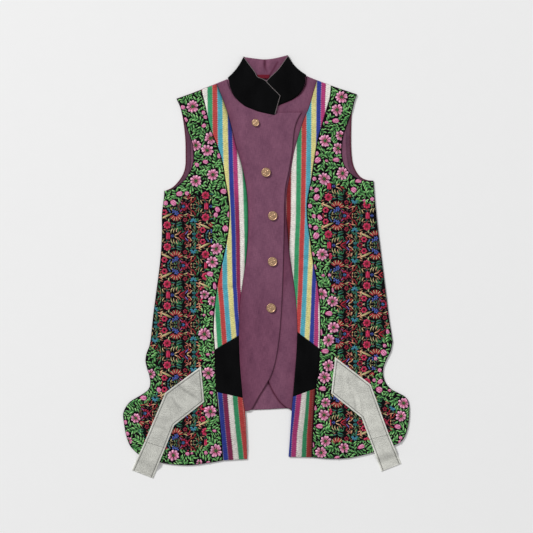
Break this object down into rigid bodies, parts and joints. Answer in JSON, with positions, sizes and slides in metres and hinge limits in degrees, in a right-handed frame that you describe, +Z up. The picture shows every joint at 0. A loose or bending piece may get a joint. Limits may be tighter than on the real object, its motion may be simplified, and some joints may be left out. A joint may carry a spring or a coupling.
{
  "type": "vest",
  "caption": "Long sleeveless vest laid flat: stand collar, button front with curved tails, striped and black panels, flower-embroidered side fronts that flare at the hip, suede tabs.",
  "frame": {"origin": "middle of the vest's outline, on the surface that it lies on", "axes": "+Z up from the surface, +Y to the collar, +X to the wearer's left"},
  "size_m": [0.6009, 0.8877, 0.0108],
  "materials": {
    "purple": "slubby cross-woven purple, dark and pink threads",
    "striped": "woven rainbow stripes in white, green, red, light blue, yellow, royal blue and magenta",
    "black": "matt black ponte",
    "embroidered": "black ground covered in satin-stitched flowers and leaves",
    "suede": "silver-grey grained suede",
    "tape": "dark red tape",
    "button_metal": "aged brass with a relief face"
  },
  "bodies": {
    "root": {"back": "purple", "right_front": "purple", "left_front": "purple", "collar_lining": "purple", "right_stripes_upper": "striped", "left_stripes_upper": "striped", "right_stripes_lower": "striped", "left_stripes_lower": "striped", "right_black_panel": "black", "left_black_panel": "black", "collar": "black", "right_side_front": "embroidered", "left_side_front": "embroidered", "right_tab": "suede", "left_tab": "suede", "hanging_loop": "tape", "button_1": "button_metal", "button_2": "button_metal", "button_3": "button_metal", "button_4": "button_metal", "button_5": "button_metal"}
  },
  "joints": []
}
